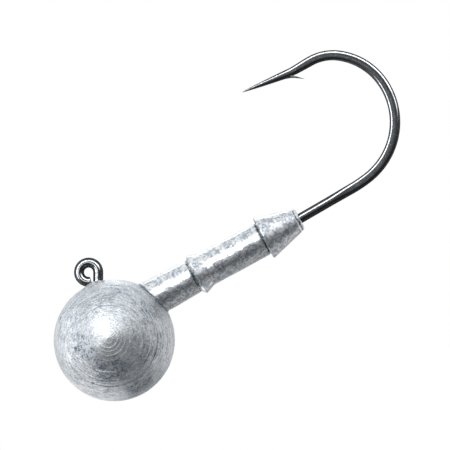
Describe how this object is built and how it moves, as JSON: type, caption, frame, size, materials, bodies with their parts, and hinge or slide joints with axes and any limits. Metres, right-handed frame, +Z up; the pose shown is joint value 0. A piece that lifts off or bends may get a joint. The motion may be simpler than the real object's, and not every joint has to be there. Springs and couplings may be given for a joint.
{
  "type": "jig head",
  "caption": "Ball-shaped lead jig head with a ribbed bait keeper, cast round a hook with an upright line tie, a wide round bend and a barbed point.",
  "frame": {"origin": "middle of the line tie, the hook's eye, which holds the object up when it hangs from a line", "axes": "+X along the hook's shank from the ball to the bend, +Z up out of the ball through the eye, the hook lies in the XZ plane and is symmetric about it"},
  "size_m": [0.0405, 0.0116, 0.0202],
  "materials": {
    "cast_lead": "bare cast lead, dull silver grey, with fine turned rings and casting grain",
    "black_nickel": "glossy black nickel plating over high-carbon steel wire"
  },
  "bodies": {
    "root": {"cast_head": "cast_lead", "hook": "black_nickel"}
  },
  "joints": []
}
